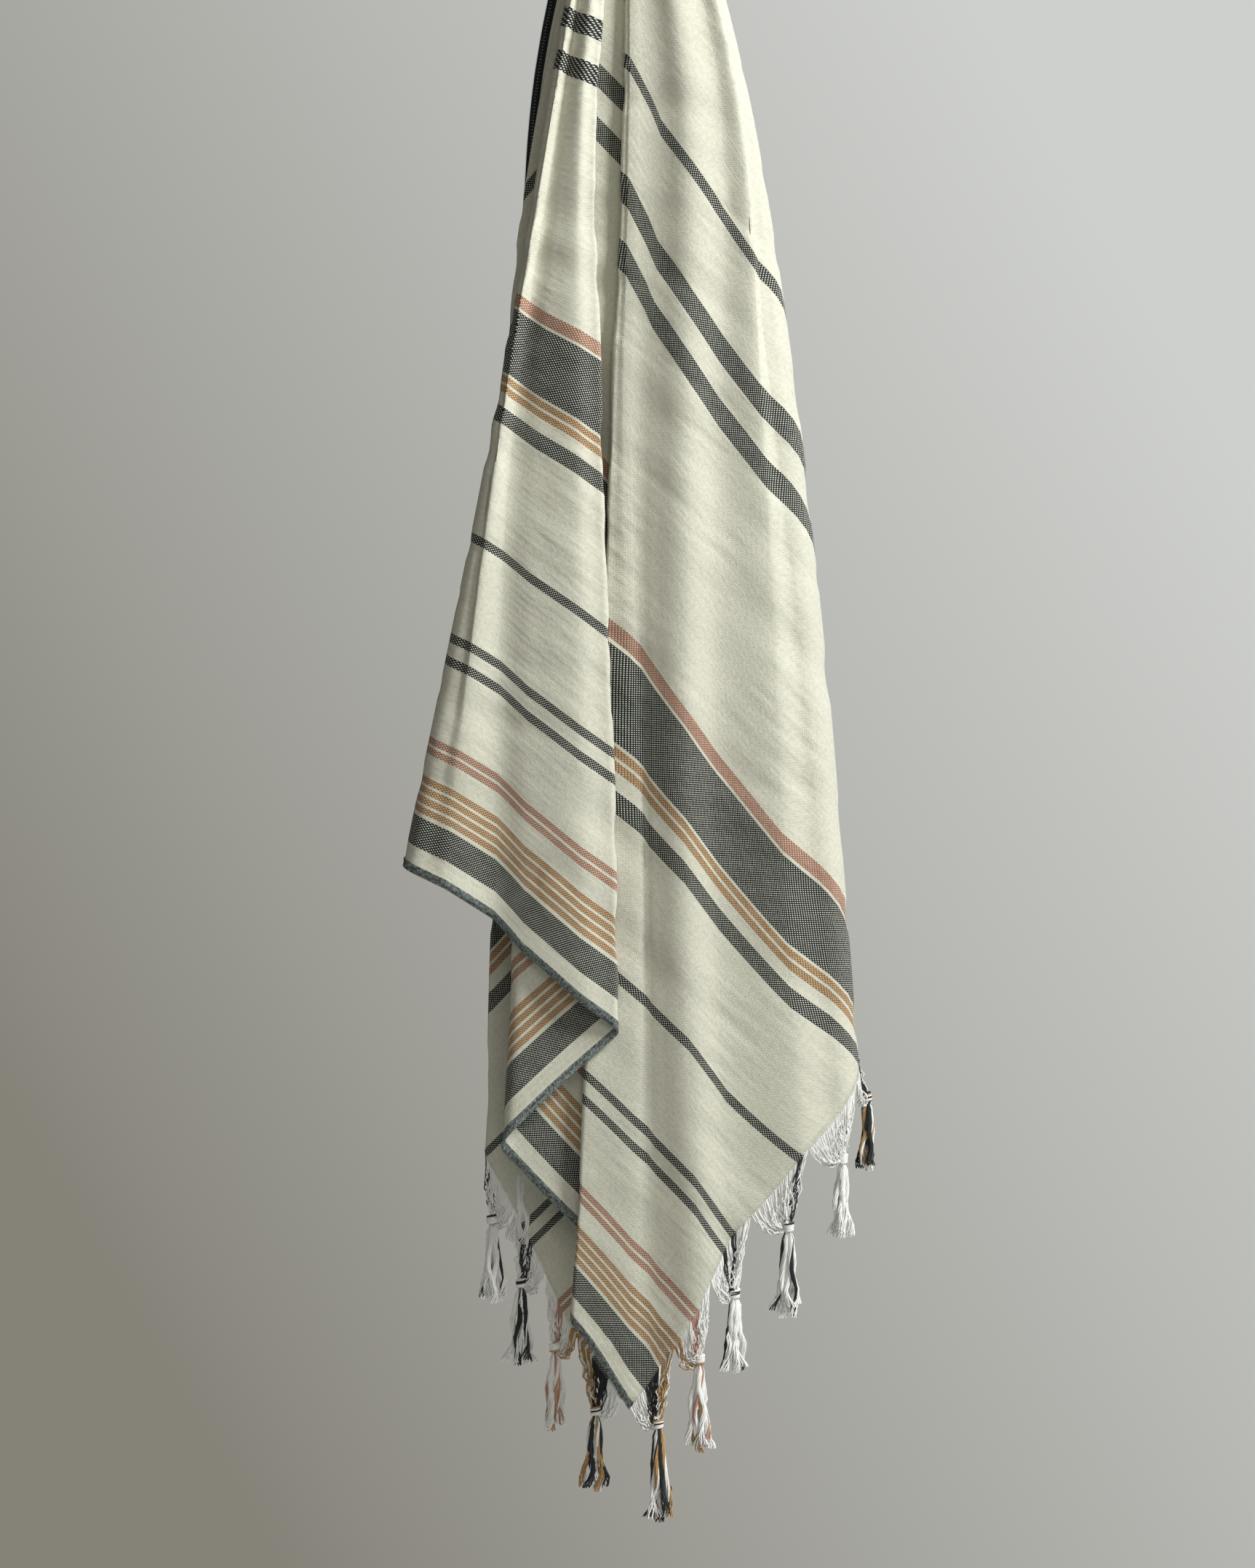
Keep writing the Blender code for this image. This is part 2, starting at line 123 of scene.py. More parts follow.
# Round the hood, the sheet's angle on the flat towel becomes its bearing: 0 to the front, + right.
HOOD_ANGLES = (-90, 22, 26, 30, 45, 51, 72, 90)
HOOD_BEARINGS = (-155, -62, -17, -8, 8, 17, 62, 155)

CLOTH_ROWS = 148
FIRST_ROW = 0.002  # as a share of a column's whole depth
ROW_CROWDING = 1.12  # above 1, the rows lie closer together at the top
TURN_STEPS = 4
SETTLE_STEPS = 60
TINY = 1e-6
HEM_THICKENING = 1.6
HEM_FADE = 0.004  # how far in from the hem the cloth goes back to its plain thickness
PLAIN_THICKNESS = 0.62  # as a share of the hem's


def at_depth(values, depth):
    """Smooth curve through the values at DEPTHS, level above the first and below the last."""
    knots = np.array(DEPTHS)
    values = np.array(values, float)
    slopes = np.gradient(values, knots)
    depth = np.clip(depth, knots[0], knots[-1])
    k = np.clip(np.searchsorted(knots, depth, side="right") - 1, 0, len(knots) - 2)
    span = knots[k + 1] - knots[k]
    t = (depth - knots[k]) / span
    start = values[k] * (1 + 2 * t) + slopes[k] * span * t
    end = values[k + 1] * (3 - 2 * t) - slopes[k + 1] * span * (1 - t)
    return start * (1 - t) ** 2 + end * t**2


def layer_y(layer, depth):
    return at_depth(BACK_FACE, depth) - (LAYERS - layer) * at_depth(LAYER_PITCH, depth)


def smooth_step(value, low, high):
    t = np.clip((value - low) / (high - low), 0, 1)
    return t * t * (3 - 2 * t)


def stretch(angle):
    return 1 + BIAS_STRETCH * np.sin(np.radians(2 * angle)) ** 2


def edge_distance(angle):
    """Hung distance from the hang point to the towel's edge along one angle."""
    radians = np.radians(angle)
    across = TOWEL_WIDTH / np.maximum(np.cos(radians), TINY)
    along = TOWEL_LENGTH / 2 / np.maximum(np.abs(np.sin(radians)), TINY)
    return stretch(angle) * np.minimum(across, along)


def turn_width(k, depth):
    """Half width of fold k's round turn: half the gap it spans, kept clear of the lines beside it."""
    fold = FOLDS[k]
    gap = np.abs(layer_y(fold.layer_out, depth) - layer_y(fold.layer_in, depth))
    if not fold.side:
        return gap * 0
    x = at_depth(fold.x, depth)
    room = [np.abs(at_depth(FOLDS[beside].x, depth) - x) for beside in (k - 1, k + 1)]
    return np.minimum(np.minimum(gap / 2, WIDEST_TURN), TURN_SHARE * np.minimum(*room))


def line_slope(k, depth):
    """How fast the cloth comes forward or goes back where it crosses fold line k."""
    fold = FOLDS[k]
    if fold.side or k in (0, len(FOLDS) - 1):
        return depth * 0
    before, after = FOLDS[k - 1], FOLDS[k + 1]
    rise = layer_y(after.layer_in, depth) - layer_y(before.layer_out, depth)
    return rise / (at_depth(after.x, depth) - at_depth(before.x, depth))


def section(k, part, t, depth):
    """Place and flat angle on the run of cloth from fold line k to the next.

    part is "out" on the turn that leaves line k, "run" between the turns, and "in" on the turn
    that reaches the next line; t goes from 0 to 1 along it.
    """
    a, b = FOLDS[k], FOLDS[k + 1]
    ax, bx = at_depth(a.x, depth), at_depth(b.x, depth)
    ay, by = layer_y(a.layer_out, depth), layer_y(b.layer_in, depth)
    a_turn, b_turn = turn_width(k, depth), turn_width(k + 1, depth)
    x0 = ax - a.side * a_turn
    x1 = bx - b.side * b_turn
    a_height = (layer_y(a.layer_in, depth) - ay) / 2
    b_height = (layer_y(b.layer_out, depth) - by) / 2
    out_length = math.pi / 2 * np.sqrt((a_turn**2 + a_height**2) / 2)
    in_length = math.pi / 2 * np.sqrt((b_turn**2 + b_height**2) / 2)
    run_length = np.hypot(x1 - x0, by - ay)
    if part == "out":
        turned = t * math.pi / 2
        x = x0 + a.side * a_turn * np.cos(turned)
        y = ay + a_height * (1 - np.sin(turned))
        travelled = t * out_length
    elif part == "in":
        turned = t * math.pi / 2
        x = x1 + b.side * b_turn * np.sin(turned)
        y = by + b_height * (1 - np.cos(turned))
        travelled = out_length + run_length + t * in_length
    else:
        x = x0 + (x1 - x0) * t
        bend_a = line_slope(k, depth) * (x1 - x0)
        bend_b = line_slope(k + 1, depth) * (x1 - x0)
        y = ay * (1 + 2 * t) * (1 - t) ** 2 + bend_a * t * (1 - t) ** 2
        y = y + by * (3 - 2 * t) * t**2 - bend_b * (1 - t) * t**2
        travelled = out_length + t * run_length
    share = travelled / (out_length + run_length + in_length)
    a_angle, b_angle = at_depth(a.angle, depth), at_depth(b.angle, depth)
    return x, y, a_angle + (b_angle - a_angle) * share


def place(k, part, t, depth):
    """Point in space, and flat angle, at each of the depths below the hang point."""
    x, y, angle = section(k, part, t, depth)
    drop = np.sqrt(np.maximum(depth**2 - x**2, 0))
    bearing = np.radians(np.interp(angle, HOOD_ANGLES, HOOD_BEARINGS))
    over = np.minimum(depth / HOOD_RADIUS, math.pi / 2)
    hood_drop = HOOD_RADIUS * (1 - np.cos(over)) + np.maximum(depth - HOOD_RADIUS * math.pi / 2, 0)
    hood_x = HOOD_RADIUS * np.sin(over) * np.sin(bearing)
    hood_y = -HOOD_RADIUS * np.sin(over) * np.cos(bearing)
    spread = smooth_step(depth, *HOOD_SPREAD)
    deepen = smooth_step(depth, *HOOD_DEEPEN)
    x = hood_x + (x - hood_x) * spread
    y = hood_y + (y - hood_y) * deepen
    return np.stack([x, y, -(hood_drop + (drop - hood_drop) * spread)], axis=-1), angle


def columns():
    """The sheet's columns from the back edge to the front edge, as (line, part, t)."""
    found = []
    for k in range(len(FOLDS) - 1):
        a, b = FOLDS[k], FOLDS[k + 1]
        if a.side:
            found += [(k, "out", i / TURN_STEPS) for i in range(TURN_STEPS)]
        width = max(abs(q - p) for p, q in zip(a.x, b.x))
        steps = max(2, math.ceil(width / a.step))
        found += [(k, "run", i / steps) for i in range(steps)]
        if b.side:
            found += [(k, "in", i / TURN_STEPS) for i in range(TURN_STEPS)]
    return found + [(len(FOLDS) - 2, "run", 1.0)]


def end_depth(column):
    """Depth at which a column meets the towel's edge."""
    depth = np.array(1.0)
    for _ in range(SETTLE_STEPS):
        depth = 0.5 * depth + 0.5 * edge_distance(section(*column, depth)[2])
    return float(depth)


# Soft waves and slanting creases: how many to a metre, how high, and how they lean, in degrees.
WAVES_ALONG, WAVES_ACROSS, WAVE_SEED = 9, 5, 3.1
WAVE_HEIGHT = 0.0016
CREASES_ALONG, CREASES_ACROSS, CREASE_SEED = 9, 38, 8.7
CREASE_HEIGHT = 0.0030
CREASE_ROUNDNESS = 0.7
RIGHT_PANEL_FROM = 0.35  # along the flat towel from its middle
RIGHT_LEAN, LEFT_LEAN = -40, -14
SMOOTH_TO = 0.10  # depth above which the gathered cloth has no creases
CREASE_FADE = 0.25


def crease(u, v, x, z, depth):
    """How far the cloth stands out from its main folds: soft waves and the slanting creases of use."""
    soft = noise.noise(Vector((u * WAVES_ALONG, v * WAVES_ACROSS, WAVE_SEED))) * WAVE_HEIGHT
    lean = math.radians(RIGHT_LEAN if u > RIGHT_PANEL_FROM else LEFT_LEAN)
    along = x * math.cos(lean) + z * math.sin(lean)
    across = z * math.cos(lean) - x * math.sin(lean)
    slant = noise.noise(Vector((along * CREASES_ALONG, across * CREASES_ACROSS, CREASE_SEED)))
    slant = (slant**CREASE_ROUNDNESS if slant > 0 else 0) * CREASE_HEIGHT
    return (soft + slant) * min(max((depth - SMOOTH_TO) / CREASE_FADE, 0), 1)


stations = columns()
ends = np.array([end_depth(column) for column in stations])
shares = FIRST_ROW + (1 - FIRST_ROW) * np.linspace(0, 1, CLOTH_ROWS) ** ROW_CROWDING
hung = np.zeros((len(stations), CLOTH_ROWS, 3))
flat = np.zeros((len(stations), CLOTH_ROWS, 2))
edge_angles = np.zeros(len(stations))
for i, column in enumerate(stations):
    depth = shares * ends[i]
    hung[i], angle = place(*column, depth)
    radians, distance = np.radians(angle), depth / stretch(angle)
    flat[i, :, 0] = distance * np.sin(radians)
    flat[i, :, 1] = TOWEL_WIDTH - distance * np.cos(radians)
    edge_angles[i] = angle[-1]
along, down = np.gradient(hung, axis=0), np.gradient(hung, axis=1)
facing = np.cross(along, down)
facing /= np.maximum(np.linalg.norm(facing, axis=2, keepdims=True), TINY**2)
for i in range(len(stations)):
    for j in range(CLOTH_ROWS):
        x, _, z = hung[i, j]
        hung[i, j] += facing[i, j] * crease(*flat[i, j], x, z, shares[j] * ends[i])

bm = bmesh.new()
bmesh.ops.create_grid(bm, x_segments=len(stations) - 1, y_segments=CLOTH_ROWS - 1, size=1)
sheet_uv = bm.loops.layers.uv.new("flat_towel")
hem_layer = bm.verts.layers.deform.verify()
spot = {}
for vert in bm.verts:
    i = round((vert.co.x + 1) / 2 * (len(stations) - 1))
    j = round((vert.co.y + 1) / 2 * (CLOTH_ROWS - 1))
    spot[vert] = (i, j)
    vert.co = hung[i, j]
for vert, (i, j) in spot.items():
    v = flat[i, j, 1]
    from_hem = min(v, TOWEL_WIDTH - v) - HEM_WIDTH
    thinning = from_hem / HEM_FADE * (1 - PLAIN_THICKNESS)
    vert[hem_layer][0] = 1.0 if from_hem < 0 else max(PLAIN_THICKNESS, 1 - thinning)
for face in bm.faces:
    face.smooth = True
    for loop in face.loops:
        loop[sheet_uv].uv = flat[spot[loop.vert]]
cloth_mesh = bpy.data.meshes.new("hammam_cloth")
bm.to_mesh(cloth_mesh)
bm.free()
cloth = bpy.data.objects.new("hammam_cloth", cloth_mesh)
bpy.context.scene.collection.objects.link(cloth)
cloth.vertex_groups.new(name="thickness")
wall = cloth.modifiers.new("thickness", "SOLIDIFY")
wall.thickness = CLOTH_THICKNESS * HEM_THICKENING
wall.offset = 0
wall.vertex_group = "thickness"
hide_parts("towel_cloth")
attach(cloth, "root")

# Stripes, measured across the towel from its near long edge. The weave of a coloured stripe is a
# small basket check of its own yarn with the cream one. The cream ground is a fine herringbone.
Stripe = namedtuple("Stripe", "yarn start end")
STRIPES = (
    Stripe("charcoal", 0.0207, 0.0439),
    Stripe("ochre", 0.0472, 0.0526),
    Stripe("ochre", 0.0548, 0.0602),
    Stripe("ochre", 0.0624, 0.0678),
    Stripe("ochre", 0.0700, 0.0754),
    Stripe("pink", 0.0931, 0.0987),
    Stripe("pink", 0.1009, 0.1065),
    Stripe("charcoal", 0.1645, 0.1717),
    Stripe("charcoal", 0.1821, 0.1893),
    Stripe("charcoal", 0.2624, 0.2698),
    Stripe("charcoal", 0.3595, 0.3724),
    Stripe("ochre", 0.3828, 0.3884),
    Stripe("ochre", 0.3906, 0.3958),
    Stripe("charcoal", 0.3980, 0.4479),
    Stripe("pink", 0.4502, 0.4600),
    Stripe("charcoal", 0.6316, 0.6461),
    Stripe("charcoal", 0.6631, 0.6776),
    Stripe("charcoal", 0.7268, 0.7339),
)
YARN_COLOURS = {
    "cream": (0.80, 0.79, 0.675, 1),
    "charcoal": (0.016, 0.022, 0.026, 1),
    "ochre": (0.40, 0.20, 0.065, 1),
    "pink": (0.42, 0.19, 0.125, 1),
}
# The cream darkened in the grooves between the twill lines: painted shade in the weave.
GROOVE_SHADED_CREAM = (0.50, 0.50, 0.43, 1)  # the ground's lower twill lines
WORN_TINT = (0.55, 0.55, 0.49, 1)
HEM_DARK = (0.07, 0.085, 0.085, 1)
HEM_PALE = (0.36, 0.41, 0.40, 1)
CHECK = 0.00115  # half a basket check
CHECK_SHARPNESS = 4.0
CHECK_FILL = 2.1
SLUB_LONG, SLUB_FINE = 22, 900  # thicker places in the yarns, to a metre along and across them
HERRINGBONE = 0.006  # width of one of its bands
TWILL_LINE = 0.0011
TWILL_CONTRAST = 0.10
TWILL_SHADE = 0.12
SPECKLES = 420  # in the hem, to a metre
SPECKLE_CONTRAST, SPECKLE_OFFSET = 3.2, -1.1
GRAINS = 330  # uneven places in the weave, to a metre
CREASE_TURN = 42  # degrees
CREASE_SIZE = (0.055, 0.05, 0.013)
PATCHES = 11  # creased places, to a metre
RELIEF = 0.00025


class Finish:
    """A cotton finish: a material with short ways to lay out its nodes."""

    SHEEN_ROUGHNESS = 0.5
    GLOSS = 0.2

    def __init__(self, name, roughness, sheen):
        self.material = bpy.data.materials.new(name)
        self.material.use_nodes = True
        self.tree = self.material.node_tree
        self.shader = self.tree.nodes["Principled BSDF"]
        self.shader.inputs["Roughness"].default_value = roughness
        self.shader.inputs["Sheen Weight"].default_value = sheen
        self.shader.inputs["Sheen Roughness"].default_value = self.SHEEN_ROUGHNESS
        self.shader.inputs["Specular IOR Level"].default_value = self.GLOSS

    def put(self, socket, value):
        if isinstance(value, bpy.types.NodeSocket):
            self.tree.links.new(value, socket)
        else:
            socket.default_value = value

    def math(self, operation, *values):
        node = self.tree.nodes.new("ShaderNodeMath")
        node.operation = operation
        for socket, value in zip(node.inputs, values):
            self.put(socket, value)
        return node.outputs[0]

    def mix(self, share, a, b, blend="MIX"):
        node = self.tree.nodes.new("ShaderNodeMix")
        node.data_type = "RGBA"
        node.blend_type = blend
        self.put(node.inputs["Factor"], share)
        self.put(node.inputs["A"], a)
        self.put(node.inputs["B"], b)
        return node.outputs["Result"]

    def noise(self, vector, scale, detail=2):
        node = self.tree.nodes.new("ShaderNodeTexNoise")
        self.put(node.inputs["Vector"], vector)
        node.inputs["Scale"].default_value = scale
        node.inputs["Detail"].default_value = detail
        return node.outputs["Fac"]

    def clamp(self, value, low, high):
        return self.math("MINIMUM", self.math("MAXIMUM", value, low), high)

    def flat_place(self, x, y, x_scale, y_scale):
        """A place on the flat towel, with its two directions scaled."""
        node = self.tree.nodes.new("ShaderNodeCombineXYZ")
        self.put(node.inputs[0], self.math("MULTIPLY", x, x_scale))
        self.put(node.inputs[1], self.math("MULTIPLY", y, y_scale))
        return node.outputs[0]

    def bump(self, height, distance, strength=1.0):
        node = self.tree.nodes.new("ShaderNodeBump")
        node.inputs["Distance"].default_value = distance
        node.inputs["Strength"].default_value = strength
        self.put(node.inputs["Height"], height)
        self.put(self.shader.inputs["Normal"], node.outputs[0])


weave = Finish("striped_cotton", 0.92, 0.12)
uv = weave.tree.nodes.new("ShaderNodeUVMap")
uv.uv_map = "flat_towel"
parts = weave.tree.nodes.new("ShaderNodeSeparateXYZ")
weave.put(parts.inputs[0], uv.outputs[0])
u, v = parts.outputs[0], parts.outputs[1]
wave_u = weave.math("SINE", weave.math("MULTIPLY", u, math.pi / CHECK))
wave_v = weave.math("SINE", weave.math("MULTIPLY", v, math.pi / CHECK))
check = weave.math("MULTIPLY", wave_u, wave_v)
dot = weave.clamp(weave.math("MULTIPLY_ADD", check, CHECK_SHARPNESS, CHECK_FILL), 0, 1)
slub_u = weave.noise(weave.flat_place(u, v, SLUB_LONG, SLUB_FINE), 1)
slub_v = weave.noise(weave.flat_place(u, v, SLUB_FINE, SLUB_LONG), 1)
slubs = weave.math("ADD", slub_u, slub_v)
back_and_forth = weave.math("SUBTRACT", weave.math("PINGPONG", v, HERRINGBONE), HERRINGBONE / 2)
leaning = weave.math("ADD", u, weave.math("ABSOLUTE", back_and_forth))
twill = weave.math("SINE", weave.math("MULTIPLY", leaning, 2 * math.pi / TWILL_LINE))
# The twill's lower lines are darkened in the colour: painted shade in the weave's grooves, beside the
# same twill in the bump.
shaded = weave.math("MULTIPLY_ADD", twill, TWILL_CONTRAST, TWILL_SHADE)
colour = weave.mix(shaded, YARN_COLOURS["cream"], GROOVE_SHADED_CREAM)
inside = None
for yarn in ("charcoal", "ochre", "pink"):
    covered = None
    for stripe in STRIPES:
        if stripe.yarn != yarn:
            continue
        middle, half = (stripe.start + stripe.end) / 2, (stripe.end - stripe.start) / 2
        band = weave.math("COMPARE", v, middle, half)
        covered = band if covered is None else weave.math("ADD", covered, band)
    colour = weave.mix(weave.math("MULTIPLY", covered, dot), colour, YARN_COLOURS[yarn])
    inside = covered if inside is None else weave.math("ADD", inside, covered)
near_hem = weave.math("LESS_THAN", v, HEM_WIDTH)
far_hem = weave.math("GREATER_THAN", v, TOWEL_WIDTH - HEM_WIDTH)
speckle = weave.noise(weave.flat_place(u, v, SPECKLES, SPECKLES), 1, 2)
speckle = weave.math("MULTIPLY_ADD", speckle, SPECKLE_CONTRAST, SPECKLE_OFFSET)
hem = weave.mix(weave.clamp(speckle, 0, 1), HEM_DARK, HEM_PALE)
colour = weave.mix(near_hem, colour, hem)
# The far hem: its own dark grey, made near black with painted shade, for it lies at the back in
# shadow.
colour = weave.mix(far_hem, colour, YARN_COLOURS["charcoal"])
grain = weave.noise(weave.flat_place(u, v, GRAINS, GRAINS), 1, 3)
worn = weave.math("MULTIPLY_ADD", grain, 0.8, weave.math("MULTIPLY_ADD", slubs, 0.35, -0.65))
colour = weave.mix(worn, colour, WORN_TINT, "MULTIPLY")
weave.put(weave.shader.inputs["Base Color"], colour)
relief = weave.math("MULTIPLY_ADD", twill, 0.35, weave.math("MULTIPLY", slubs, 0.8))
relief = weave.math("ADD", relief, weave.math("MULTIPLY", weave.math("ABSOLUTE", check), inside))
lie = weave.tree.nodes.new("ShaderNodeMapping")
lie.vector_type = "TEXTURE"
lie.inputs["Rotation"].default_value = (0, math.radians(CREASE_TURN), 0)
lie.inputs["Scale"].default_value = CREASE_SIZE
place_in = weave.tree.nodes.new("ShaderNodeTexCoord").outputs["Object"]
weave.put(lie.inputs["Vector"], place_in)
creased = weave.math("SUBTRACT", weave.noise(place_in, PATCHES, 1), 0.38)
creased = weave.clamp(weave.math("MULTIPLY", creased, 5), 0.2, 1)
creases = weave.math("MULTIPLY", weave.noise(lie.outputs[0], 1, 1.4), creased)
relief = weave.math("MULTIPLY_ADD", creases, 11.5, relief)
relief = weave.math("MULTIPLY_ADD", grain, 1.6, relief)
weave.bump(relief, RELIEF, 0.9)
cloth_mesh.materials.append(weave.material)


# ---- The fringes ----
# On both short ends the loose warp yarns hang out of the cloth. Each 70 mm of them is drawn
# together in an overhand knot, and the yarns below it are the tassel. They keep the stripes' colours.

TASSELS_PER_END = 13
TASSEL_PITCH = 0.07
FIRST_TASSEL = 0.03
KNOT_DROP = 0.042
KNOT_RADIUS = 0.0037
CAD_TAIL = 0.068
TOOTH_REACH = (0.030, 0.022, 0.004)  # a tooth's lower end lies this near to its tassel's own place
PLIES = 9
YARNS_IN_PLY = 8
YARN_RADIUS = 0.00046
VEIL_YARN = 1.2  # a yarn's thickness above the knot, and in the tail, as shares of YARN_RADIUS
TAIL_YARN = 1.9
KNOT_YARN = 2.5
TOOTH_GAP = 0.0008  # from a tassel's outer yarn to the middle of the space beside it
PULL = (1 / 6, 2 / 6, 3 / 6)  # a tassel hangs more from the higher side of its yarns
KNOT_SPREAD = (0.0024, 0.0020)  # how far the plies lie from the knot's middle, across and out
BELOW_KNOT = 0.004
SLACK_LENGTH = 1.03
SAG = 0.62  # share of the slack that a loose yarn hangs below a straight line
VEIL_WANDER = 0.0060
TAIL_CURL = 0.0024
TAIL_WANDER = 0.0062
YARN_WANDER = 0.0012
PLY_RADIUS = 0.0014
FRAYED_FROM = 0.75
FRAYING = 0.0016
GOLDEN_TURN = 2.39996  # radians; spreads the plies evenly round the tassel
VEIL_STEPS = (0.1, 0.22, 0.34, 0.46, 0.58, 0.7, 0.82, 0.93)
TAIL_STEPS = (0.1, 0.21, 0.32, 0.43, 0.54, 0.65, 0.76, 0.87, 0.95, 1.0)
WRAPS = 5
WRAP_STEPS = 18
# Tail lengths of the front tassels from the near edge on; the others have the usual one.
FRONT_TAILS = (0.080, 0.074, 0.064, 0.070, 0.064, 0.060)
USUAL_TAIL = 0.066


def yarn_at(v):
    """The kind of the warp yarn that lies v metres from the near long edge."""
    # The far hem's yarns: their own dark grey, made near black with painted shade.
    if v > TOWEL_WIDTH - HEM_WIDTH:
        return "charcoal"
    for stripe in STRIPES:
        if stripe.start <= v <= stripe.end:
            return stripe.yarn
    return "cream"


def yarn_material(name, colour):
    made = Finish(name, 0.85, 0.25)
    where = made.tree.nodes.new("ShaderNodeTexCoord").outputs["Object"]
    fuzz = made.noise(where, 900)
    pale = tuple(min(1, c * 1.25 + 0.02) for c in colour[:3]) + (1,)
    made.put(made.shader.inputs["Base Color"], made.mix(fuzz, colour, pale))
    made.bump(fuzz, 0.0003, 0.6)
    return made.material


yarn_materials = {
    "cream": yarn_material("cream_yarn", (0.88, 0.88, 0.85, 1)),
    "charcoal": yarn_material("black_yarn", (0.016, 0.018, 0.020, 1)),
    "ochre": yarn_material("ochre_yarn", (0.45, 0.27, 0.11, 1)),
    "pink": yarn_material("pink_yarn", (0.50, 0.28, 0.22, 1)),
    "grey": yarn_material("grey_yarn", (0.23, 0.26, 0.26, 1)),
}
yarn_order = list(yarn_materials)


def edge_point(end, v):
    """Point on a fringed end of the hung towel, v metres from the near long edge."""
    angle = end * math.degrees(math.atan2(TOWEL_LENGTH / 2, TOWEL_WIDTH - v))
    return Vector([float(np.interp(angle, edge_angles, hung[:, -1, axis])) for axis in range(3)])


def add_yarn(curve, points, radii, yarn):
    spline = curve.splines.new("POLY")
    spline.points.add(len(points) - 1)
    for point, where, radius in zip(spline.points, points, radii):
        point.co = (*where, 1)
        point.radius = radius
    spline.material_index = yarn_order.index(yarn)
    spline.use_smooth = True


def wander(seed, s):
    """Small sideways wander of a loose yarn along its length."""
    a = noise.noise(Vector((seed * 3.7, s, 0.3)))
    b = noise.noise(Vector((seed * 3.7, s, 7.9)))
    c = noise.noise(Vector((seed * 3.7, s, 4.4)))
    return Vector((a, b, c * 0.5))


def curve_to_piece(curve, name):
    """A curve object made a mesh at the origin."""
    draft = bpy.data.objects.new(name + "_draft", curve)
    bpy.context.scene.collection.objects.link(draft)
    graph = bpy.context.evaluated_depsgraph_get()
    mesh = bpy.data.meshes.new_from_object(draft.evaluated_get(graph))
    bpy.data.objects.remove(draft, do_unlink=True)
    mesh.name = name
    piece = bpy.data.objects.new(name, mesh)
    bpy.context.scene.collection.objects.link(piece)
    return piece


def yarn_curve(name, radius):
    curve = bpy.data.curves.new(name, "CURVE")
    curve.dimensions = "3D"
    curve.bevel_depth = radius
    curve.bevel_resolution = 0
    curve.use_fill_caps = True
    for made in yarn_materials.values():
        curve.materials.append(made)
    return curve


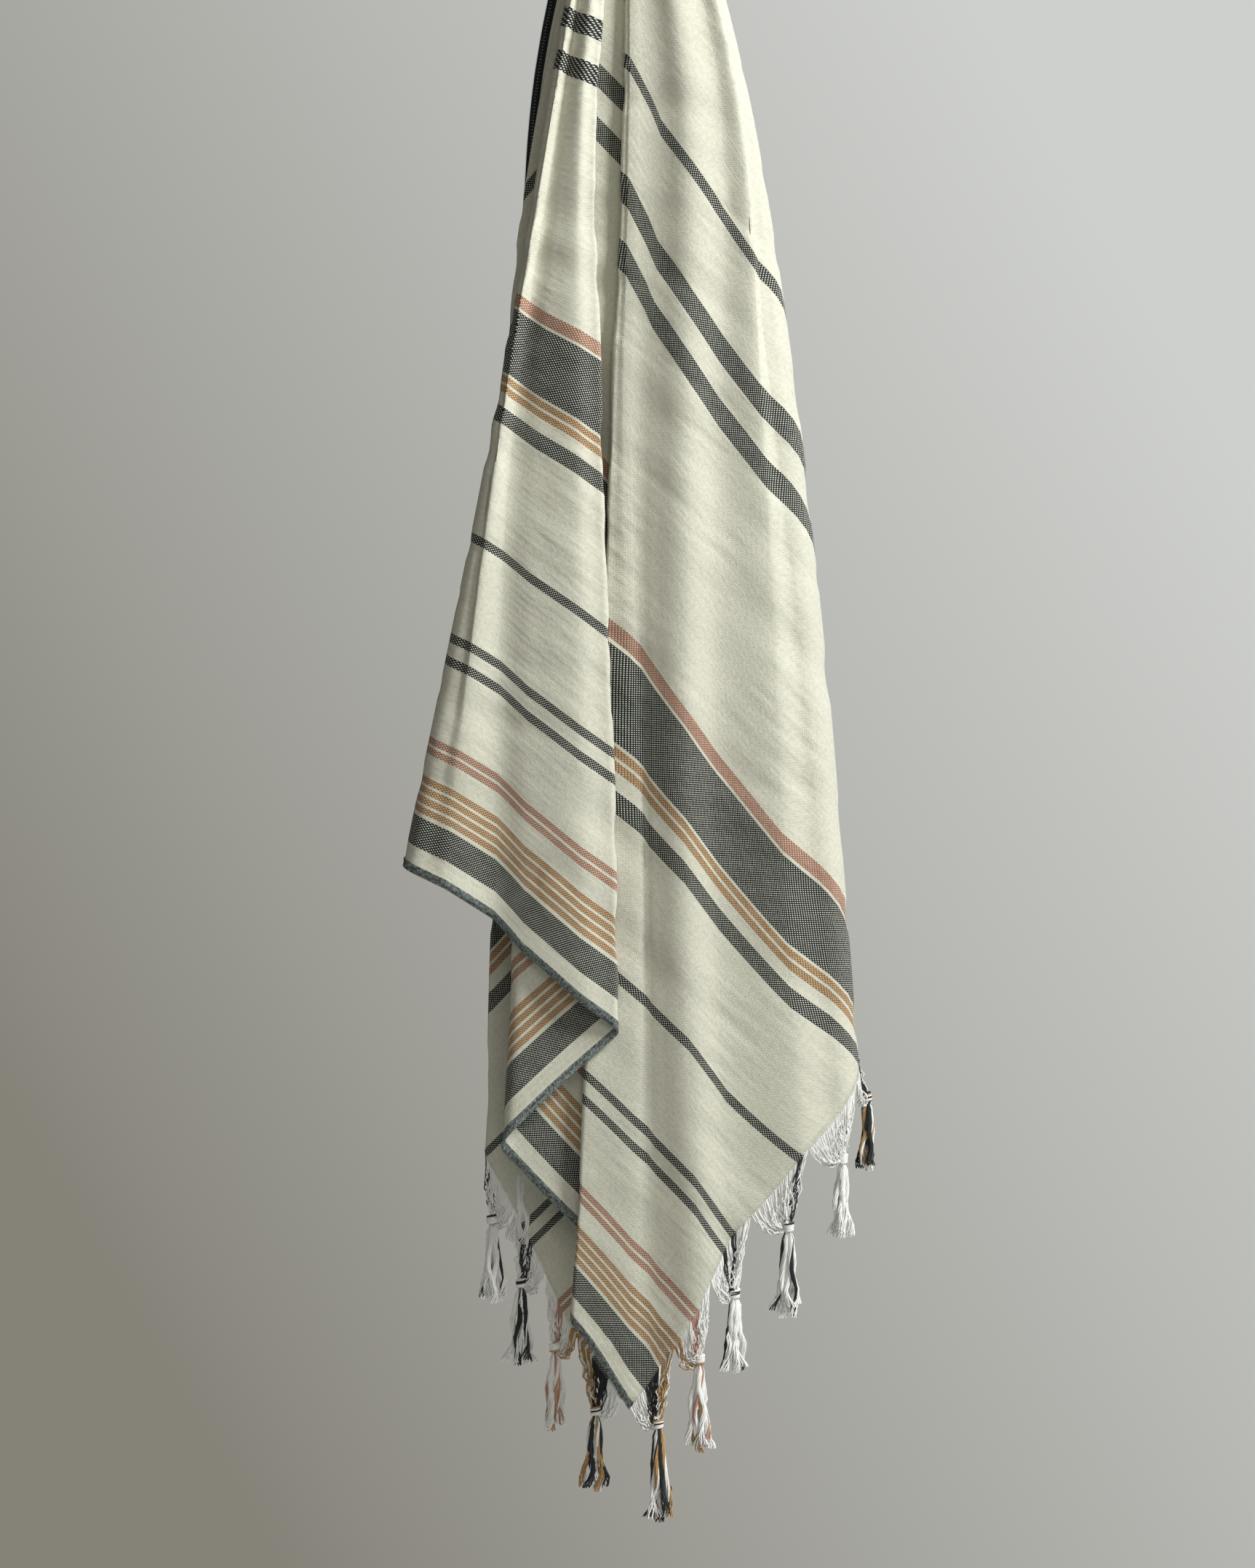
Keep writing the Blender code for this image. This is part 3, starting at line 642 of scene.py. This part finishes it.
def make_fringe(name, end, node):
    cad = np.array([tuple(vert.co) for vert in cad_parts[node].data.vertices])
    curve = yarn_curve(name, YARN_RADIUS)
    for number in range(TASSELS_PER_END):
        middle_v = FIRST_TASSEL + number * TASSEL_PITCH
        low = max(middle_v - TASSEL_PITCH / 2, 0) + TOOTH_GAP
        high = min(middle_v + TASSEL_PITCH / 2, TOWEL_WIDTH) - TOOTH_GAP
        sides = [edge_point(end, at) for at in (low, (low + high) / 2, high)]
        knot = sum((side * share for side, share in zip(sides, PULL)), Vector((0, 0, -KNOT_DROP)))
        beside = np.abs(cad - (knot.x, knot.y, knot.z - CAD_TAIL)) < TOOTH_REACH
        tail_end = cad[beside.all(axis=1)].mean(axis=0)
        knot.x, knot.y = tail_end[0], tail_end[1]
        tail_length = FRONT_TAILS[number] if end > 0 and number < len(FRONT_TAILS) else USUAL_TAIL
        across = (sides[2] - sides[0]).to_2d().to_3d().normalized()
        out = Vector((across.y, -across.x, 0))
        down = Vector((0, 0, -1))
        reach = max((side - knot).length for side in sides)
        for ply in range(PLIES):
            ply_seed = number * 31 + ply * 7 + (500 if end > 0 else 0)
            ply_way = GOLDEN_TURN * ply + number
            ply_off = math.sqrt((ply + 0.5) / PLIES)
            ply_length = tail_length * (0.94 + 0.22 * noise.noise(Vector((ply_seed * 0.73, 2, 5))))
            for strand in range(YARNS_IN_PLY):
                j = ply * YARNS_IN_PLY + strand
                v = low + (high - low) * (j + 0.5) / (PLIES * YARNS_IN_PLY)
                seed = ply_seed * 10 + strand
                start = edge_point(end, v)
                round_ply = 2 * math.pi * strand / YARNS_IN_PLY
                into = knot + across * math.cos(ply_way) * ply_off * KNOT_SPREAD[0]
                into += out * math.sin(ply_way) * ply_off * KNOT_SPREAD[1]
                slack = max(reach * SLACK_LENGTH - (start - into).length, 0)
                bow = (start + into) / 2 + down * slack * SAG
                points = [start + (start - bow).normalized() * 0.002]
                radii = [VEIL_YARN]
                for s in VEIL_STEPS:
                    at = start * (1 - s) ** 2 + bow * 2 * s * (1 - s) + into * s * s
                    points.append(at + wander(seed, s * 7) * VEIL_WANDER * math.sin(math.pi * s))
                    radii.append(VEIL_YARN)
                points.append(into + down * BELOW_KNOT)
                radii.append(0.9)
                for s in TAIL_STEPS:
                    width, depth = 0.0030 + 0.0070 * s**1.2, 0.0026 + 0.0030 * s
                    curl = math.sin(9.5 * s + ply_seed) * TAIL_CURL * s
                    at = knot + down * (BELOW_KNOT + (ply_length - BELOW_KNOT) * s)
                    at += across * (math.cos(ply_way) * ply_off * width + curl)
                    at += out * math.sin(ply_way) * ply_off * depth
                    at += wander(ply_seed + 0.5, s * 3) * TAIL_WANDER * s
                    turned = round_ply + 7.0 * s
                    loose = PLY_RADIUS + FRAYING * max(s - FRAYED_FROM, 0) / (1 - FRAYED_FROM)
                    at += (across * math.cos(turned) + out * math.sin(turned)) * loose
                    at += wander(seed + 37, s * 6) * YARN_WANDER * s
                    points.append(at)
                    radii.append(TAIL_YARN - 0.8 * s**3)
                add_yarn(curve, points, radii, yarn_at(v))
        for wrap in range(WRAPS):
            points = []
            for step in range(WRAP_STEPS + 1):
                s = step / WRAP_STEPS
                a = math.pi * (2.5 * s + 0.3 + wrap * 0.12)
                ring = KNOT_RADIUS * (1 - 0.25 * abs(2 * s - 1))
                lift = 0.0042 * (0.5 - s) + (wrap - 2) * 0.0011
                at = knot + across * math.cos(a) * ring + out * math.sin(a) * ring * 0.9
                points.append(at - down * lift)
            wrapped = yarn_at(low + (high - low) * (wrap * 0.21 + 0.08))
            add_yarn(curve, points, [KNOT_YARN] * len(points), wrapped)
    piece = curve_to_piece(curve, name)
    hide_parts(node)
    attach(piece, "root")
    return piece


front_fringe = make_fringe("front_fringe", 1, "fringe_front")
back_fringe = make_fringe("back_fringe", -1, "fringe_back")


# ---- The overlock stitches ----
# Both long edges are overlocked: a grey thread goes round the near edge and a white one runs in
# waves along the far edge, whose own dark grey is made near black with painted shade.

STITCH_PITCH = 0.0026
STITCH_RADIUS = 0.00034
EDGE_ROUNDING = 0.0004  # how far the thread stands off where it goes round the edge
NEAR_REACH, FAR_REACH = 0.0062, 0.0040  # how far in from the edge a stitch goes


def long_edge_points(near):
    """Points, outward directions and facings along one long edge, one for each stitch."""
    if near:
        inner = np.abs(edge_angles) <= 45
        line = hung[inner, -1]
        inward = hung[inner, -3] - line
        side = facing[inner, -1]
    else:
        line = np.concatenate([hung[0, ::-1], hung[-1]])
        inward = np.concatenate([hung[1, ::-1] - hung[0, ::-1], hung[-2] - hung[-1]])
        side = np.concatenate([facing[0, ::-1], facing[-1]])
    steps = np.linalg.norm(np.diff(line, axis=0), axis=1)
    run = np.concatenate([[0], np.cumsum(steps)])
    wanted = np.arange(0, run[-1], STITCH_PITCH)
    found = []
    for values in (line, inward, side):
        found.append(np.stack([np.interp(wanted, run, values[:, axis]) for axis in range(3)], axis=1))
    line, inward, side = found
    inward /= np.maximum(np.linalg.norm(inward, axis=1, keepdims=True), TINY)
    side /= np.maximum(np.linalg.norm(side, axis=1, keepdims=True), TINY)
    return line, inward, side


def make_stitches(name, near, thread, reach):
    curve = yarn_curve(name, STITCH_RADIUS)
    line, inward, side = long_edge_points(near)
    points = []
    off = CLOTH_THICKNESS * 0.8 + STITCH_RADIUS * 0.6
    for i in range(len(line) - 1):
        ahead = (line[i + 1] - line[i]) * 0.5
        points.append(line[i] + inward[i] * reach - side[i] * off)
        points.append(line[i] + ahead * 0.4 - inward[i] * EDGE_ROUNDING)
        points.append(line[i] + ahead + inward[i] * reach + side[i] * off)
        points.append(line[i] + ahead * 1.6 - inward[i] * EDGE_ROUNDING)
    add_yarn(curve, points, [1.0] * len(points), thread)
    piece = curve_to_piece(curve, name)
    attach(piece, "root")
    return piece


near_stitches = make_stitches("near_hem_stitches", True, "grey", NEAR_REACH)
far_stitches = make_stitches("far_hem_stitches", False, "cream", FAR_REACH)


# ---- Floor, light and camera ----
# A plain pale floor below the towel, a backdrop with painted light to the upper right and painted
# shade to the lower left, a soft light from the upper right, a weak one from the front and one from
# behind, and a level camera.

FLOOR_HALF_SIZE = 1.9
FLOOR_HEIGHT = -1.95
FLOOR_COLOUR = (0.66, 0.66, 0.64, 1)
# The backdrop's colours: painted shade to the lower left and painted light to the upper right, as on a
# wall lit from there. The same colours, weaker, also light the towel.
BACKDROP_SHADED_LEFT = (0.235, 0.225, 0.19, 1)
BACKDROP_LIT_RIGHT = (0.62, 0.63, 0.61, 1)
BACKDROP_REACH = 0.2
BACKDROP_SLOPE = 0.6
AMBIENT = 0.36  # how much of the backdrop's brightness falls on the towel

bm = bmesh.new()
bmesh.ops.create_grid(bm, x_segments=1, y_segments=1, size=FLOOR_HALF_SIZE)
bmesh.ops.translate(bm, verts=bm.verts, vec=(0, 0, FLOOR_HEIGHT))
floor_mesh = bpy.data.meshes.new("floor")
bm.to_mesh(floor_mesh)
bm.free()
floor = bpy.data.objects.new("floor", floor_mesh)
bpy.context.scene.collection.objects.link(floor)
pale = bpy.data.materials.new("pale_floor")
pale.use_nodes = True
pale.node_tree.nodes["Principled BSDF"].inputs["Base Color"].default_value = FLOOR_COLOUR
pale.node_tree.nodes["Principled BSDF"].inputs["Roughness"].default_value = 0.9
floor_mesh.materials.append(pale)

world = bpy.data.worlds.new("studio")
bpy.context.scene.world = world
world.use_nodes = True
sky = world.node_tree
direction = sky.nodes.new("ShaderNodeTexCoord").outputs["Generated"]
split = sky.nodes.new("ShaderNodeSeparateXYZ")
sky.links.new(direction, split.inputs[0])
ramp = sky.nodes.new("ShaderNodeMapRange")
ramp.inputs["From Min"].default_value = -BACKDROP_REACH
ramp.inputs["From Max"].default_value = BACKDROP_REACH
slope = sky.nodes.new("ShaderNodeMath")
slope.operation = "MULTIPLY_ADD"
slope.inputs[1].default_value = BACKDROP_SLOPE
sky.links.new(split.outputs[2], slope.inputs[0])
sky.links.new(split.outputs[0], slope.inputs[2])
sky.links.new(slope.outputs[0], ramp.inputs["Value"])
shades = sky.nodes.new("ShaderNodeMix")
shades.data_type = "RGBA"
shades.inputs["A"].default_value = BACKDROP_SHADED_LEFT
shades.inputs["B"].default_value = BACKDROP_LIT_RIGHT
sky.links.new(ramp.outputs["Result"], shades.inputs["Factor"])
sky.links.new(shades.outputs["Result"], sky.nodes["Background"].inputs["Color"])
# The camera sees the painted backdrop at full brightness; the towel is lit by AMBIENT of it.
seen = sky.nodes.new("ShaderNodeLightPath").outputs["Is Camera Ray"]
brightness = sky.nodes.new("ShaderNodeMapRange")
brightness.inputs["To Min"].default_value = AMBIENT
sky.links.new(seen, brightness.inputs["Value"])
sky.links.new(brightness.outputs["Result"], sky.nodes["Background"].inputs["Strength"])
bpy.context.scene.view_settings.view_transform = "Standard"


def add_light(name, size, power, where, towards, colour):
    data = bpy.data.lights.new(name, "AREA")
    data.color = colour
    data.shape = "SQUARE"
    data.size = size
    data.energy = power
    light = bpy.data.objects.new(name, data)
    light.location = where
    light.rotation_euler = (Vector(towards) - Vector(where)).to_track_quat("-Z", "Y").to_euler()
    bpy.context.scene.collection.objects.link(light)


add_light("key", 0.8, 109, (2.1, -1.4, 1.15), (0, 0, -0.55), (0.985, 1, 0.975))
add_light("fill", 1.6, 13, (0.3, -3.0, 0.9), (0, 0, -0.5), (1, 0.94, 0.82))
add_light("back", 2.0, 46, (1.2, 3.2, 0.6), (0, 0, -0.8), (1, 1, 0.98))

CAMERA_DISTANCE = 3.2
CAMERA_PLACE = (-0.0032, -CAMERA_DISTANCE, -0.8593)
SENSOR_WIDTH = 36
FRAME_WIDTH = 1.003  # at the towel
camera_data = bpy.data.cameras.new("camera")
camera_data.sensor_fit = "HORIZONTAL"
camera_data.sensor_width = SENSOR_WIDTH
camera_data.lens = SENSOR_WIDTH * CAMERA_DISTANCE / FRAME_WIDTH
camera = bpy.data.objects.new("camera", camera_data)
camera.location = CAMERA_PLACE
camera.rotation_euler = (math.pi / 2, 0, 0)
bpy.context.scene.collection.objects.link(camera)
bpy.context.scene.camera = camera
